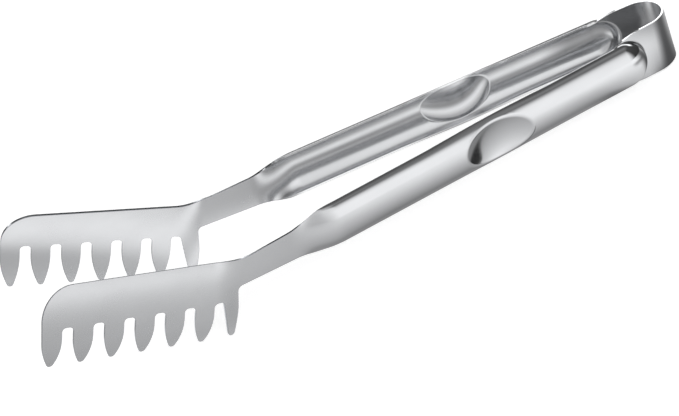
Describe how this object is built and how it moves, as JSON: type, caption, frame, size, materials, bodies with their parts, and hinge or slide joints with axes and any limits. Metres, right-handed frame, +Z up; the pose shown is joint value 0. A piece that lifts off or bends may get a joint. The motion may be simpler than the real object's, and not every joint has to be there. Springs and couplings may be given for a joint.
{
  "type": "spaghetti tongs",
  "caption": "One-piece sprung kitchen tongs with half-round handles, thumb dimples and angled toothed combs for lifting long pasta.",
  "frame": {"origin": "centre of the bounding box at the surface on which the tongs rest", "axes": "+X from the combs towards the bow, +Z up, +Y towards the right arm; the arms mirror each other across the XZ plane"},
  "size_m": [0.2784, 0.0658, 0.0589],
  "materials": {
    "satin_steel": "satin on comb and neck, polished on the handle",
    "polished_steel": "polished"
  },
  "bodies": {
    "bow": {"spring_bow": "polished_steel"},
    "right": {"right_arm": "satin_steel"},
    "left": {"left_arm": "satin_steel"}
  },
  "joints": [
    {"name": "squeeze_right", "type": "hinge", "parent": "bow", "child": "right", "pos_m": [0.12825, 0, 0.01188], "axis": [0.0606, 0, 0.9982], "range_deg": [0, 6.1], "stiffness_Nm_per_rad": 15},
    {"name": "squeeze_left", "type": "hinge", "parent": "bow", "child": "left", "pos_m": [0.12825, 0, 0.01188], "axis": [-0.0606, 0, -0.9982], "range_deg": [0, 6.1], "stiffness_Nm_per_rad": 15}
  ],
  "couplings": [
    {"joint": "squeeze_left", "follows": "squeeze_right", "ratio": 1}
  ]
}
